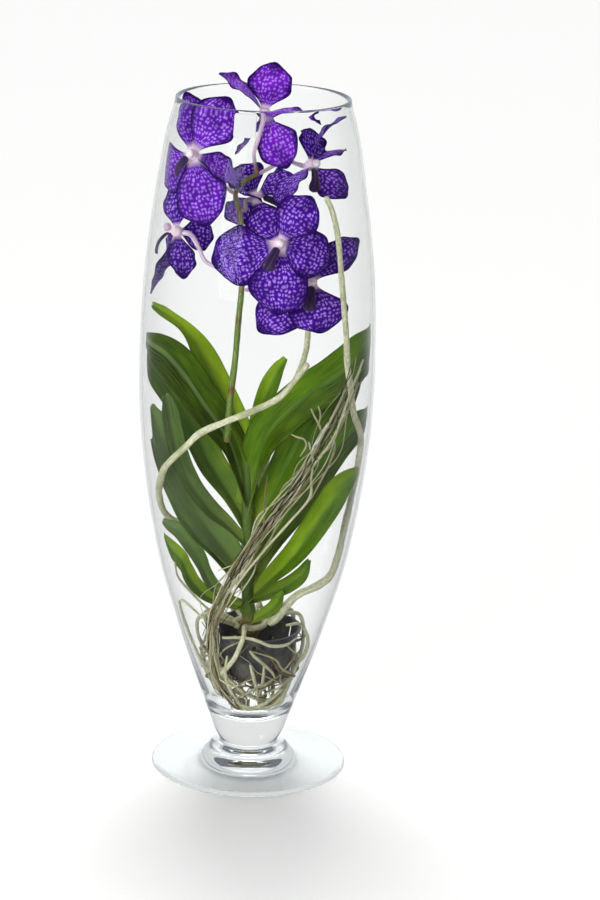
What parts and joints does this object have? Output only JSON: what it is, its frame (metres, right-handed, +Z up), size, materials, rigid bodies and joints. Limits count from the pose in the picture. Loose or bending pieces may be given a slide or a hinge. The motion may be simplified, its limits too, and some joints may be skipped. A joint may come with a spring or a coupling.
{
  "type": "vanda orchid in glass vase",
  "caption": "Vanda orchid with violet blooms, strap leaves and long aerial roots, standing bare-rooted in a small net basket inside a tall footed glass vase.",
  "frame": {"origin": "centre of the vase foot's underside, on the surface that it stands on", "axes": "+Z up along the vase's axis, -Y towards the side that the picture shows, +X to the right of that view"},
  "size_m": [0.2034, 0.2034, 0.6301],
  "materials": {
    "clear_glass": "polished",
    "label_paper": "matte",
    "black_plastic": "matte",
    "leaf_green": "satin",
    "spike_green": "satin",
    "tepal_violet": "satin",
    "column_pink": "satin",
    "lip_dark": "satin",
    "pedicel_pale": "satin",
    "root_pale": "matte",
    "root_dry": "matte"
  },
  "bodies": {
    "root": {"glass_vase": "clear_glass", "paper_label": "label_paper", "net_basket": "black_plastic", "leafy_stem": "leaf_green", "flower_spike": "spike_green", "bloom_a_tepals": "tepal_violet", "bloom_a_column": "column_pink", "bloom_a_lip": "lip_dark", "bloom_a_pedicel": "pedicel_pale", "bloom_b_tepals": "tepal_violet", "bloom_b_column": "column_pink", "bloom_b_lip": "lip_dark", "bloom_b_pedicel": "pedicel_pale", "bloom_c_tepals": "tepal_violet", "bloom_c_column": "column_pink", "bloom_c_lip": "lip_dark", "bloom_c_pedicel": "pedicel_pale", "bloom_d_tepals": "tepal_violet", "bloom_d_column": "column_pink", "bloom_d_lip": "lip_dark", "bloom_d_pedicel": "pedicel_pale", "bloom_e_tepals": "tepal_violet", "bloom_e_column": "column_pink", "bloom_e_lip": "lip_dark", "bloom_e_pedicel": "pedicel_pale", "bloom_f_tepals": "tepal_violet", "bloom_f_column": "column_pink", "bloom_f_lip": "lip_dark", "bloom_f_pedicel": "pedicel_pale", "bloom_g_tepals": "tepal_violet", "bloom_g_column": "column_pink", "bloom_g_lip": "lip_dark", "bloom_g_pedicel": "pedicel_pale", "aerial_root_right": "root_pale", "aerial_root_left": "root_pale", "aerial_root_back": "root_pale", "root_mass": "root_dry"}
  },
  "joints": []
}
